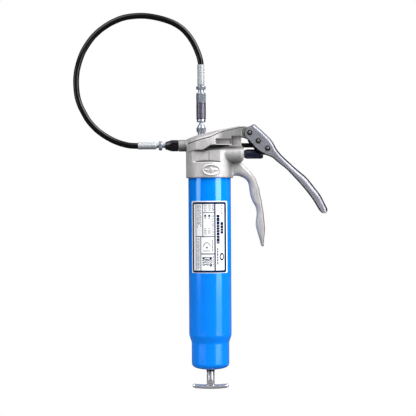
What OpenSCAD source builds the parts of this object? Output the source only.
// Lever grease gun: a cast head with a fixed grip, a screwed barrel for a
// standard cartridge, a channel lever that drives a plunger, and a short hose
// whose coupler is parked on the filler nipple.
//
// Frame: millimetres, +Z up. The origin is on the barrel's axis at the head's
// lower rim. +X points to the grip and the lever. The gun is symmetric about
// the plane Y = 0, apart from the badge on its front, which faces -Y.

/* [Barrel] */
// Outer diameter of the barrel
barrel_d = 57; // [56.6:0.1:57]
// Length of the barrel's full diameter below the head
barrel_len = 211; // [205:1:215]
// Outer diameter of the narrow lower end
tail_d = 50.5; // [50:0.1:51.5]
// Depth of the barrel's bottom below the head's rim
barrel_bottom = 257; // [256:0.5:258]
// Wall thickness of the barrel
barrel_wall = 1.5; // [1.2:0.1:1.6]
// Height of the printed label
label_h = 95.5; // [60:0.1:120]
// Half of the angle that the label wraps
label_half_angle = 55.3; // [30:0.1:80]
// Turn of the label away from straight ahead
label_turn = 1.4; // [-20:0.1:20]

/* [Follower] */
// Diameter of the follower rod
rod_d = 8; // [7:0.1:8]
// Width of the T-handle's crossbar
t_width = 49; // [40:0.5:60]
// Number of turns of the follower spring
follower_turns = 13; // [8:1:16]

/* [Head] */
// Outer diameter of the head's skirt
skirt_d = 63.2; // [62.5:0.1:64]
// Height of the skirt
skirt_h = 36.3; // [36:0.1:36.6]
// Height of the plunger's axis above the head's rim
plunger_z = 43.6; // [43.4:0.1:43.8]
// Height of the lower boss's axis above the head's rim
boss_z = 31.9; // [31.8:0.1:32]
// Radius of the lower boss
boss_r = 11.4; // [11:0.1:11.6]
// Width of the grip
grip_w = 21; // [18:0.5:24]

/* [Lever] */
// Overall width of the lever channel
lever_w = 28.4; // [28:0.1:30]
// Sheet thickness of the lever
lever_t = 2.5; // [2:0.1:2.7]
// Diameter of the lever's pins
pin_d = 6; // [5.6:0.1:6]

/* [Hose] */
// Outer diameter of the hose
hose_d = 8; // [7.5:0.1:8.2]
// Outer diameter of the crimped ferrules
ferrule_d = 9.6; // [9.2:0.1:10.4]

/* [Hidden] */
$fn = 96;

barrel_r = barrel_d / 2;
barrel_ri = barrel_r - barrel_wall;
tail_r = tail_d / 2;
skirt_r = skirt_d / 2;
neck_r = 28;
neck_top = 16.5;
roof_z = 18.5;
pin_r = pin_d / 2;
rod_r = rod_d / 2;
cheek_in = lever_w / 2 - lever_t;
knuckle_w = 2 * (cheek_in - 0.3);
plunger_r = 3.1;
nip_x = -10.8;

// The pins' centres in the plane Y = 0.
pin1 = [53.9, 60];
pin2 = [65.4, 49];
pin3 = [77.7, 39.1];

// Lever: the web's outer edge from the knuckle to the tip, the tip, the
// cheek's inner edge back to the knuckle, and the cheek's round end.
lever_outer = [[60.5, 71.5], [68, 65], [75, 58.5], [81.5, 52], [85.5, 46.5], [89.5, 39],
    [93, 34], [96.5, 30], [101.5, 25], [108, 19], [115, 12.5], [121.5, 7], [128.5, 1],
    [135, -6.5], [141.5, -15], [148.5, -24.5], [153.5, -34.5], [157, -41.5], [157.5, -44.5]];
lever_tip = [[157.5, -44.5], [156, -47.5], [154, -48.5], [151.5, -47.5]];
lever_inner = [[151.5, -47.5], [148, -44], [144, -37], [139, -29], [132, -19.5], [125.5, -11.5],
    [119, -4], [112, 3.5], [105.5, 10.5], [99, 16], [92, 21.5], [87, 26], [83, 28.5], [77.5, 30.5],
    [72.5, 33], [68, 35.5], [62.5, 40], [57.5, 45.5], [53.5, 50], [48.5, 55.5]];
lever_end = [[48.5, 55.5], [47.8, 58.5], [48.4, 61.5], [51.4, 66.5], [55.5, 69.5], [60.5, 71.5]];

// Grip: its outer edge from the boss to the tip, and its inner edge back.
grip_outer = [[36, 25], [42.5, 20], [47.5, 15], [54.5, 8], [60, 1.5], [62.5, -3], [64.5, -10],
    [66.5, -15], [67.5, -22], [69.5, -30], [70.5, -38], [72, -46], [73, -57], [74, -67.5],
    [73.5, -75], [72.5, -84], [72, -91], [70.5, -92.5]];
grip_inner = [[68.5, -90.5], [67.5, -85], [65.5, -78.5], [63.5, -71], [62, -65], [62, -58],
    [63, -51.5], [63, -44.5], [61.5, -38.5], [58, -32.5], [55.5, -26], [54, -19], [53, -11],
    [51, -5], [46.5, -0.5], [41, 2], [35.5, 3], [31.5, 2.5]];

// Upper body: x, half width, height of the lower edge, of the front edge and of the ridge.
body_rings = [
    [-30.2, 6, 36.2, 45.6, 52.2], [-28, 12.5, 36.2, 46.2, 53.3], [-24, 19, 36.2, 47.4, 55],
    [-18, 24.8, 36.2, 49.2, 57], [-12, 28, 36.2, 50.8, 58.5], [-9, 29, 36.2, 51.6, 59.3],
    [-6, 29.8, 37.6, 52.4, 60], [-2, 30.2, 40.3, 53.4, 61], [2, 30.2, 42.7, 54.7, 61.8],
    [7, 29.5, 43.3, 57, 63],
    [12, 28, 43.3, 59.3, 64.2], [18, 25, 43.3, 61.5, 65.2], [24, 21, 43.3, 63.3, 66.3],
    [29, 18, 43.3, 64.5, 67.5], [29.2, 18, 55.2, 64.6, 67.6], [34, 15.6, 55.2, 65.7, 68.7],
    [40, 14.4, 55.2, 67.1, 69.5], [46, 14.2, 55.2, 67.7, 69.7], [49, 14, 55.2, 67.2, 68.7],
    [51.5, 13.6, 55.6, 66.4, 67.4]];

// Hose: centreline from the rear ferrule round the loop to the front ferrule.
hose_route = [[-95.8, 43.6], [-97, 43.6], [-109, 44.5], [-123, 48.5], [-135.5, 54.5], [-147.5, 62.5],
    [-156, 70.5], [-163, 79], [-169, 89.5], [-173.5, 99], [-177, 111], [-178.5, 126], [-178, 140],
    [-175, 154.5], [-169, 170.5], [-159.5, 185.5], [-151.5, 194.5], [-142.5, 202], [-129.5, 210],
    [-112, 216.5], [-89, 218.5], [-68, 215.5], [-49.5, 209.5], [-37, 202], [-28.5, 193.5],
    [-22.5, 185], [-18, 176.5], [-14.5, 168], [-12, 160], [-10.8, 153], [-10.8, 152.2]];

// ---- helpers ----------------------------------------------------------

// A point on the smooth curve between p1 and p2.
function cr(p0, p1, p2, p3, t) = 0.5 * (2 * p1 + (p2 - p0) * t
    + (2 * p0 - 5 * p1 + 4 * p2 - p3) * t * t + (3 * p1 - p0 - 3 * p2 + p3) * t * t * t);
// A smooth curve through the points p, with n steps to each.
function spline(p, n) = concat([for (i = [0:len(p) - 2]) for (j = [0:n - 1])
    cr(p[max(i - 1, 0)], p[i], p[i + 1], p[min(i + 2, len(p) - 1)], j / n)], [p[len(p) - 1]]);
function unit(v) = v / norm(v);
function tangent(p, i) = unit(p[min(i + 1, len(p) - 1)] - p[max(i - 1, 0)]);
// A plane curve moved sideways by d, to the right of its direction.
function offset_curve(p, d) = [for (i = [0:len(p) - 1]) let (t = tangent(p, i)) p[i] + d * [t[1], -t[0]]];
function but_last(p) = [for (i = [0:len(p) - 2]) p[i]];
function reversed(p) = [for (i = [len(p) - 1:-1:0]) p[i]];

// A skin over closed rings of equal length; each ring turns from Y to Z seen against its direction.
module skin(rings) {
    n = len(rings);
    s = len(rings[0]);
    polyhedron(points = [for (r = rings) for (p = r) p],
        faces = concat([[for (k = [0:s - 1]) k]],
            [for (i = [0:n - 2]) for (k = [0:s - 1]) let (k2 = (k + 1) % s) each
                [[i * s + k, (i + 1) * s + k, (i + 1) * s + k2], [i * s + k, (i + 1) * s + k2, i * s + k2]]],
            [[for (k = [s - 1:-1:0]) (n - 1) * s + k]]));
}

// A round wire or tube of radius r swept along the points p; n gives a normal at each point.
module wire(p, n, r, s) {
    skin([for (i = [0:len(p) - 1]) let (t = tangent(p, i), b = unit(cross(t, n[i])), m = cross(b, t))
        [for (k = [0:s - 1]) p[i] + r * (cos(360 * k / s) * m + sin(360 * k / s) * b)]]);
}

// A coil spring along +Z with ground ends.
module coil(r, wire_r, z0, z1, turns, steps = 16, sides = 6) {
    n = turns * steps;
    h = z1 - z0 - 2 * wire_r;
    function lift(u) = u < 1 / turns ? 0.35 * u : u > 1 - 1 / turns ? 1 - 0.35 * (1 - u)
        : 0.35 / turns + (u - 1 / turns) * (1 - 0.7 / turns) / (1 - 2 / turns);
    wire([for (i = [0:n]) let (a = 360 * i / steps) [r * cos(a), r * sin(a), z0 + wire_r + h * lift(i / n)]],
        [for (i = [0:n]) let (a = 360 * i / steps) [cos(a), sin(a), 0]], wire_r, sides);
}

// A shape drawn in X and Z, w thick and centred on Y = 0.
module side(w) rotate([90, 0, 0]) linear_extrude(height = w, center = true) children();
// The same between y0 and y1.
module side_at(y0, y1) translate([0, y1, 0]) rotate([90, 0, 0]) linear_extrude(height = y1 - y0) children();
// A cylinder along +X from x0 to x1 at height z.
module rod_x(x0, x1, r, z, fn = 64, turn = 0) translate([x0, 0, z]) rotate([0, 90, 0]) rotate([0, 0, turn])
    cylinder(r = r, h = x1 - x0, $fn = fn);
// A cone along +X from radius r0 at x0 to r1 at x1.
module cone_x(x0, x1, r0, r1, z) translate([x0, 0, z]) rotate([0, 90, 0])
    cylinder(r1 = r0, r2 = r1, h = x1 - x0, $fn = 64);
// A cylinder along Y about the point p in X and Z.
module rod_y(p, r, y0, y1, fn = 64) translate([p[0], y1, p[1]]) rotate([90, 0, 0])
    cylinder(r = r, h = y1 - y0, $fn = fn);
module tube_z(r, ri, z0, z1) difference() {
    translate([0, 0, z0]) cylinder(r = r, h = z1 - z0);
    translate([0, 0, z0 - 1]) cylinder(r = ri, h = z1 - z0 + 2);
}
module tube_x(x0, x1, r, ri, z, fn = 64) difference() {
    rod_x(x0, x1, r, z, fn);
    rod_x(x0 - 1, x1 + 1, ri, z);
}

// ---- head -------------------------------------------------------------

// One ring of the upper body: straight front, a small step, then a crowned top.
function body_ring(b) = let (x = b[0], w = b[1], zb = b[2], ze = b[3], zt = b[4]) concat(
    [[x, w, zb], [x, w, ze - 0.7]],
    [for (a = [90:-18:-90]) [x, (w - 0.7) * sin(a), ze + (zt - ze) * pow(max(cos(a), 0), 0.8)]],
    [[x, -w, ze - 0.7], [x, -w, zb]]);

module boss_solid() {
    for (y = [-13.5, 13.5]) translate([0, y, 0]) {
        rod_x(-4, 42.4, boss_r, boss_z);
        cone_x(42.4, 45.6, boss_r, boss_r - 3.2, boss_z);
    }
    h = boss_r - 0.15;
    side(27) polygon([[-4, boss_z - h], [42.3, boss_z - h], [45.5, boss_z - h + 3.2],
        [45.5, boss_z + h - 3.2], [42.3, boss_z + h], [-4, boss_z + h]]);
}

module badge_ring() intersection() {
    translate([0, 0, 1]) cylinder(r = skirt_r + 0.7, h = 19);
    side_at(-40, -20) difference() {
        polygon([for (a = [0:7.5:352.5]) [2.3 + 12 * cos(a), 9.9 + 7.2 * sin(a)]]);
        polygon([for (a = [0:7.5:352.5]) [2.3 + 10.6 * cos(a), 9.9 + 5.8 * sin(a)]]);
    }
}

module head_casting() color([0.78, 0.77, 0.76]) difference() {
    union() {
        difference() {
            cylinder(r = skirt_r, h = skirt_h);
            // flat panel on the front, turned a little to the left
            rotate([0, 0, -9.3]) translate([-40, -60, 20.8]) cube([80, 34.5, 30]);
        }
        skin([for (b = body_rings) body_ring(b)]);
        boss_solid();
        rod_x(-41.8, -20, 8.1, plunger_z);
        // gland block under the arm
        side(17) polygon([[20, 34], [42.9, 34], [42.9, 54.3], [41.5, 56.5], [20, 56.5]]);
        // knuckle round the pivot pin
        rod_y(pin1, 8.6, -knuckle_w / 2, knuckle_w / 2);
        side(knuckle_w) polygon([[40, 55.4], [50, 53.2], [54, 52], [54, 66.8], [48, 67], [40, 65]]);
        // grip
        side(grip_w) polygon(concat(spline(grip_outer, 3), spline(grip_inner, 3), [[29.2, 2.5], [29.2, 25]]));
        badge_ring();
    }
    // thread for the barrel's neck, and the grease space over it
    translate([0, 0, -1]) cylinder(r = neck_r + 0.08, h = roof_z + 1);
    // pump bore, outlet bore and gland bore
    rod_x(-19, 44, plunger_r + 0.05, plunger_z);
    rod_x(-43, -18, 5, plunger_z);
    rod_x(34, 50, 5.5, plunger_z);
    // inlet port from the barrel
    translate([0, 0, roof_z - 1]) cylinder(r = 2, h = plunger_z - roof_z + 1, $fn = 48);
    // bore of the pressure switch and its port
    rod_x(21, 50, 3.75, boss_z);
    rod_x(-9, 22, 2.3, boss_z);
    translate([-7, 0, boss_z]) cylinder(r = 1.2, h = plunger_z - boss_z, $fn = 48);
    // seat and thread of the filler nipple, and its passage down to the barrel
    translate([nip_x, 0, 57]) cylinder(r = 7.2, h = 8);
    translate([nip_x, 0, 50]) cylinder(r = 4.05, h = 8, $fn = 64);
    translate([nip_x, 9.5, roof_z - 1]) cylinder(r = 1.6, h = 54.5 - roof_z, $fn = 48);
    rod_y([nip_x, 51.8], 1.1, 1, 9.5, 48);
    // pivot bore, the slot for the lever's spring, and room for the cheeks' round ends
    rod_y(pin1, pin_r + 0.05, -20, 20);
    translate([45.5, -3.7, 49]) cube([20, 7.4, 22]);
    for (m = [-1, 1]) rod_y(pin1, 11, m > 0 ? knuckle_w / 2 : -20, m > 0 ? 20 : -knuckle_w / 2);
    // recess in each flank over the boss
    for (m = [-1, 1]) side_at(m > 0 ? 15.5 : -40, m > 0 ? 40 : -15.5)
        polygon([[8, 44.2], [28.4, 44.2], [28.4, 51.3], [8, 51.3]]);
}

// ---- barrel -----------------------------------------------------------

// The barrel's profile at an inset of t from its outer face.
function barrel_profile(t) = concat(
    [[barrel_r - t, 0], [barrel_r - t, -barrel_len - t * 0.3], [tail_r - t, -barrel_len - 9 - t * 0.3],
        [tail_r - t, -barrel_bottom + 8.5]],
    [for (a = [10:10:70]) [tail_r - 8 + (8 - t) * cos(a), -barrel_bottom + 8.5 - (8 - t) * sin(a)]],
    [[12, -barrel_bottom + 0.2 + t]]);

module barrel() color([0.0, 0.42, 0.86]) rotate_extrude()
    polygon(concat([[neck_r, neck_top], [neck_r, 0]], barrel_profile(0), [[5, -barrel_bottom], [5, -barrel_bottom + barrel_wall]],
        reversed(barrel_profile(barrel_wall)), [[barrel_ri, neck_top]]));

module barrel_label() color([0.95, 0.95, 0.96]) rotate([0, 0, -90 - label_half_angle - label_turn])
    rotate_extrude(angle = 2 * label_half_angle)
        translate([barrel_r + 0.02, -31 - label_h]) square([0.1, label_h]);

module barrel_gasket() color([0.1, 0.1, 0.1]) tube_z(neck_r, 24.5, neck_top, roof_z);

module rod_bush() color([0.06, 0.06, 0.07]) difference() {
    union() {
        translate([0, 0, -259.4]) cylinder(r = 5.6, h = 2.4, $fn = 64);
        translate([0, 0, -257.2]) cylinder(r = 4.96, h = 4.2, $fn = 64);
    }
    translate([0, 0, -262]) cylinder(r = rod_r + 0.05, h = 12, $fn = 64);
}

// ---- follower ---------------------------------------------------------

module follower_rod() color([0.72, 0.73, 0.75]) union() {
    translate([0, 0, -268]) cylinder(r = rod_r, h = 268, $fn = 64);
    translate([0, 0, -0.1]) cylinder(r = 3, h = 14.6, $fn = 64);
}

module t_handle() color([0.8, 0.8, 0.82]) difference() {
    union() {
        translate([0, 0, -277.8]) cylinder(r = 5.25, h = 18.2, $fn = 64);
        translate([0, 0, -279]) cylinder(r1 = 8, r2 = 5.25, h = 3.4, $fn = 64);
        skin([for (i = [-8:8]) let (u = i / 8, x = t_width / 2 * sign(u) * pow(abs(u), 0.8),
                k = pow(max(1 - pow(abs(u), 7), 0.03), 0.5))
            [for (a = [0:30:330]) [x, 4.2 * k * cos(a), -280.4 + 1.6 * u * u + 3 * k * sin(a)]]]);
    }
    translate([0, 0, -268.1]) cylinder(r = rod_r + 0.02, h = 20, $fn = 64);
}

module follower_cup() color([0.08, 0.08, 0.08]) difference() {
    union() {
        translate([0, 0, 2.5]) cylinder(r = 22.6, h = 6);
        translate([0, 0, 8.5]) cylinder(r1 = 22.6, r2 = 23.4, h = 4);
    }
    translate([0, 0, 5.5]) cylinder(r = 20.4, h = 8);
    translate([0, 0, 0]) cylinder(r = 3.05, h = 20, $fn = 64);
}

module follower_plates() color([0.7, 0.7, 0.7]) for (z = [0.1, 5.6]) difference() {
    translate([0, 0, z]) cylinder(r = z < 3 ? 22.5 : 20, h = z < 3 ? 2.3 : 1.8);
    translate([0, 0, -2]) cylinder(r = 3.05, h = 30, $fn = 64);
}

module follower_nut() color([0.75, 0.75, 0.76]) difference() {
    translate([0, 0, 7.5]) cylinder(r = 5.8, h = 5, $fn = 6);
    translate([0, 0, 5]) cylinder(r = 3.05, h = 12, $fn = 64);
}

module follower_spring() color([0.62, 0.63, 0.65]) coil(16.5, 0.9, -255, 0, follower_turns);

// ---- lever ------------------------------------------------------------

cheek_line = concat(but_last(spline(lever_outer, 2)), but_last(lever_tip),
    but_last(spline(lever_inner, 2)), but_last(spline(lever_end, 2)));
web_line = spline(lever_outer, 2);

module lever() color([0.56, 0.56, 0.60]) difference() {
    union() {
        for (m = [-1, 1]) side_at(m > 0 ? cheek_in : -lever_w / 2, m > 0 ? lever_w / 2 : -cheek_in)
            polygon(cheek_line);
        side(lever_w) polygon(concat(web_line, reversed(offset_curve(web_line, lever_t))));
    }
    for (p = [pin1, pin2, pin3]) rod_y(p, pin_r + 0.02, -20, 20);
}

module yoke_plates() color([0.07, 0.07, 0.08]) for (m = [-1, 1]) difference() {
    side_at(m > 0 ? cheek_in - 2.6 : -cheek_in + 0.05, m > 0 ? cheek_in - 0.05 : -cheek_in + 2.6)
        polygon([[51.2, 50.6], [55.2, 45.3], [60.4, 39.4], [66, 34.4], [71.5, 31.4], [77, 30.8],
            [82.5, 33], [84, 38], [80.5, 44.5], [72, 55], [67, 58.5], [63.4, 57.5], [62, 53.2],
            [58.5, 51], [54, 50.6]]);
    for (p = [pin2, pin3]) rod_y(p, pin_r + 0.02, -20, 20);
}

module lever_pin(p, y0, y1) {
    rod_y(p, pin_r, y0, y1);
    rod_y(p, 1.6, y0 - 1.3, y1 + 1.3);
}
module pivot_pin() color([0.75, 0.75, 0.77]) lever_pin(pin1, -lever_w / 2 - 0.05, lever_w / 2 + 0.05);
module drive_pin() color([0.75, 0.75, 0.77]) lever_pin(pin2, -lever_w / 2 - 0.05, lever_w / 2 + 0.05);
module yoke_rivets() color([0.75, 0.75, 0.77]) for (m = [-1, 1]) {
    rod_y(pin3, pin_r, m > 0 ? cheek_in - 2.6 : -lever_w / 2 - 0.05, m > 0 ? lever_w / 2 + 0.05 : -cheek_in + 2.6);
    rod_y(pin3, 1.6, m > 0 ? lever_w / 2 : -lever_w / 2 - 1.35, m > 0 ? lever_w / 2 + 1.35 : -lever_w / 2);
}
module pin_rings() color([0.08, 0.08, 0.09]) for (p = [pin1, pin2, pin3]) for (m = [-1, 1]) difference() {
    rod_y(p, 3.5, m > 0 ? lever_w / 2 + 0.1 : -lever_w / 2 - 1.0, m > 0 ? lever_w / 2 + 1.0 : -lever_w / 2 - 0.1);
    rod_y(p, 1.62, -20, 20);
}

// Torsion spring round the pivot pin, between the knuckle's ears.
module lever_spring() color([0.5, 0.5, 0.52]) translate([pin1[0], 0, pin1[1]]) rotate([90, 0, 0])
    wire([for (i = [-4:70]) let (a = -170 + 20 * i, k = i < 0 ? -i : i > 66 ? i - 66 : 0, s = i < 0 ? 1 : -1,
            a0 = i < 0 ? -170 : i > 66 ? -170 + 20 * 66 : a)
            [4.8 * cos(a0) + k * s * sin(a0) * 0.8, 4.8 * sin(a0) - k * s * cos(a0) * 0.8,
                -2.6 + 5.2 * min(max(i, 0), 66) / 66]],
        [for (i = [-4:70]) let (a0 = i < 0 ? -170 : i > 66 ? -170 + 20 * 66 : -170 + 20 * i) [cos(a0), sin(a0), 0]], 0.6, 6);

// ---- pump -------------------------------------------------------------

module plunger() color([0.06, 0.06, 0.07]) union() {
    rod_x(2.2, 57, plunger_r, plunger_z);
    rod_x(56.5, 61, 2.5, plunger_z);
}

module plunger_crosshead() color([0.07, 0.07, 0.08]) difference() {
    side(14) polygon([[57, 40.7], [71, 40.7], [71, 52.5], [68.75, 52.5], [68.75, 42.2], [62.05, 42.2],
        [62.05, 50.4], [57, 50.4]]);
    rod_x(56, 63, 2.52, plunger_z);
}

module plunger_gland() color([0.72, 0.60, 0.35]) tube_x(37.3, 42.9, 5.45, plunger_r + 0.05, plunger_z);
module plunger_seal() color([0.85, 0.85, 0.80]) tube_x(34.1, 37.2, 5.45, plunger_r + 0.05, plunger_z);

module switch_collar() color([0.86, 0.86, 0.87]) tube_x(22, 50.2, 3.7, 2.05, boss_z);

module switch_cap() color([0.05, 0.06, 0.09]) difference() {
    union() {
        cone_x(46.6, 50.2, 4.9, 6.4, boss_z);
        rod_x(50.2, 69.5, 6.4, boss_z);
        cone_x(69.5, 72.1, 6.4, 5.1, boss_z);
    }
    rod_x(46, 50, 3.72, boss_z);
    rod_x(49.6, 70, 4.5, boss_z);
}

module switch_piston() color([0.7, 0.7, 0.7]) union() {
    rod_x(17, 50.4, 2, boss_z);
    rod_x(50.3, 52.3, 4.3, boss_z);
    rod_x(52.2, 57, 2, boss_z);
}

module switch_spring() color([0.6, 0.6, 0.6]) translate([0, 0, boss_z]) rotate([0, 90, 0]) coil(3.3, 0.6, 52.4, 69.9, 7);

module outlet_nut() color([0.07, 0.07, 0.08]) difference() {
    union() {
        intersection() {
            rod_x(-59.3, -41.9, 7.6, plunger_z, 6);
            cone_x(-59.3, -41.9, 4.9, 4.9 + 17.4 * 0.33, plunger_z);
        }
        rod_x(-42.2, -31, 4.95, plunger_z);
    }
    rod_x(-62, -30, 2, plunger_z);
    rod_x(-60, -55, 3.05, plunger_z);
}

module outlet_valve_seat() color([0.75, 0.62, 0.35]) tube_x(-20.5, -18.05, 4.95, 2.2, plunger_z);
module outlet_check_ball() color([0.85, 0.85, 0.86]) translate([-22.55, 0, plunger_z]) sphere(r = 3, $fn = 48);
module outlet_check_spring() color([0.6, 0.6, 0.6]) translate([0, 0, plunger_z]) rotate([0, 90, 0]) coil(2.9, 0.45, -30.9, -24.7, 4);

// ---- hose and coupler --------------------------------------------------

module hose_stem_rear() color([0.8, 0.81, 0.84]) difference() {
    union() {
        rod_x(-70.6, -55.2, 3, plunger_z);
        intersection() {
            rod_x(-67.9, -63.4, 6.4, plunger_z, 6);
            cone_x(-68, -63.4, 5.6, 9, plunger_z);
            cone_x(-67.9, -63.3, 9, 5.6, plunger_z);
        }
    }
    rod_x(-72, -54, 1.6, plunger_z);
}

module hose_ferrule_rear() color([0.78, 0.79, 0.82]) difference() {
    union() {
        rod_x(-95.8, -72.2, ferrule_d / 2, plunger_z);
        cone_x(-72.2, -70.7, ferrule_d / 2, 3.9, plunger_z);
    }
    rod_x(-97, -70, 1.6, plunger_z);
}

module hose() color([0.06, 0.07, 0.08]) {
    p = [for (q = spline(hose_route, 2)) [q[0], 0, q[1]]];
    wire(p, [for (i = [0:len(p) - 1]) [0, 1, 0]], hose_d / 2, 10);
}

module hose_ferrule_front() color([0.78, 0.79, 0.82]) translate([nip_x, 0, 0]) difference() {
    union() {
        translate([0, 0, 125.2]) cylinder(r = ferrule_d / 2, h = 27, $fn = 64);
        translate([0, 0, 123.7]) cylinder(r1 = 3.9, r2 = ferrule_d / 2, h = 1.5, $fn = 64);
    }
    translate([0, 0, 120]) cylinder(r = 1.6, h = 40, $fn = 48);
}

module hose_stem_front() color([0.8, 0.81, 0.84]) translate([nip_x, 0, 0]) difference() {
    union() {
        translate([0, 0, 104]) cylinder(r = 3.7, h = 19.6, $fn = 64);
        intersection() {
            translate([0, 0, 118.8]) cylinder(r = 6.6, h = 4.6, $fn = 6);
            translate([0, 0, 118.8]) cylinder(r1 = 5.8, r2 = 9, h = 4.6, $fn = 64);
            translate([0, 0, 118.8]) cylinder(r1 = 9, r2 = 5.8, h = 4.6, $fn = 64);
        }
    }
    translate([0, 0, 100]) cylinder(r = 1.6, h = 30, $fn = 48);
}

module coupler_body() color([0.78, 0.80, 0.85]) translate([nip_x, 0, 0]) difference() {
    union() {
        intersection() {
            translate([0, 0, 102.2]) cylinder(r = 6.6, h = 12.1, $fn = 6);
            translate([0, 0, 102.2]) cylinder(r1 = 15, r2 = 5.6, h = 12.1, $fn = 64);
        }
        translate([0, 0, 88]) cylinder(r = 4.3, h = 14.4, $fn = 64);
    }
    translate([0, 0, 80]) cylinder(r = 1.6, h = 30, $fn = 48);
    translate([0, 0, 103.9]) cylinder(r = 3.72, h = 12, $fn = 64);
}

module coupler_sleeve() color([0.22, 0.21, 0.26]) translate([nip_x, 0, 0]) difference() {
    union() {
        translate([0, 0, 79.5]) cylinder(r = 6.5, h = 21.8);
        translate([0, 0, 78.7]) cylinder(r1 = 5.8, r2 = 6.5, h = 0.81);
        translate([0, 0, 101.3]) cylinder(r1 = 6.5, r2 = 5.8, h = 0.8);
    }
    translate([0, 0, 70]) cylinder(r = 4.35, h = 40, $fn = 64);
}

module coupler_jaws() color([0.8, 0.8, 0.82]) translate([nip_x, 0, 0]) difference() {
    union() {
        translate([0, 0, 76]) cylinder(r = 6, h = 2.6, $fn = 64);
        translate([0, 0, 75]) cylinder(r1 = 5, r2 = 6, h = 1.01, $fn = 64);
        translate([0, 0, 78]) cylinder(r = 4.3, h = 7, $fn = 64);
    }
    translate([0, 0, 74]) cylinder(r = 3.3, h = 12, $fn = 64);
    // slits between the jaws
    for (a = [0, 90]) rotate([0, 0, a + 45]) translate([-10, -0.5, 74]) cube([20, 1, 7]);
}

module coupler_seal() color([0.1, 0.1, 0.1]) translate([nip_x, 0, 0]) tube_z(4.25, 1.3, 85.15, 87.95);

module filler_nipple() color([0.76, 0.78, 0.83]) translate([nip_x, 0, 0]) difference() {
    union() {
        translate([0, 0, 53]) cylinder(r = 4, h = 4.5, $fn = 64);
        translate([0, 0, 57.05]) cylinder(r = 4.7, h = 5, $fn = 64);
        intersection() {
            translate([0, 0, 61.2]) cylinder(r = 6.5, h = 7.4, $fn = 6);
            translate([0, 0, 61.2]) cylinder(r1 = 5.4, r2 = 10, h = 7.4, $fn = 64);
            translate([0, 0, 61.2]) cylinder(r1 = 10, r2 = 5.4, h = 7.4, $fn = 64);
        }
        translate([0, 0, 68]) cylinder(r = 4.65, h = 2.5, $fn = 64);
        translate([0, 0, 70.5]) cylinder(r1 = 4.65, r2 = 3.2, h = 2, $fn = 64);
        translate([0, 0, 72]) cylinder(r = 2.6, h = 9.5, $fn = 64);
        translate([0, 0, 81.4]) cylinder(r1 = 2.6, r2 = 3.25, h = 0.8, $fn = 64);
        translate([0, 0, 82.2]) cylinder(r = 3.25, h = 1.2, $fn = 64);
        translate([0, 0, 83.4]) cylinder(r1 = 3.25, r2 = 2, h = 1.7, $fn = 64);
    }
    translate([0, 0, 52]) cylinder(r = 1.5, h = 32.2, $fn = 48);
    translate([0, 0, 84]) cylinder(r = 1, h = 3, $fn = 48);
    // vent hole in the front flat
    rod_y([0.7, 64.2], 0.8, -10, 0, 32);
}

module nipple_ball() color([0.85, 0.85, 0.86]) translate([nip_x, 0, 83.1]) sphere(r = 1.45, $fn = 32);
module nipple_spring() color([0.6, 0.6, 0.6]) translate([nip_x, 0, 0]) coil(1.15, 0.25, 73, 81.6, 8, 12, 5);

head_casting();
barrel();
barrel_label();
barrel_gasket();
rod_bush();
follower_rod();
t_handle();
follower_cup();
follower_plates();
follower_nut();
follower_spring();
lever();
yoke_plates();
pivot_pin();
drive_pin();
yoke_rivets();
pin_rings();
lever_spring();
plunger();
plunger_crosshead();
plunger_gland();
plunger_seal();
switch_collar();
switch_cap();
switch_piston();
switch_spring();
outlet_nut();
outlet_valve_seat();
outlet_check_ball();
outlet_check_spring();
hose_stem_rear();
hose_ferrule_rear();
hose();
hose_ferrule_front();
hose_stem_front();
coupler_body();
coupler_sleeve();
coupler_jaws();
coupler_seal();
filler_nipple();
nipple_ball();
nipple_spring();
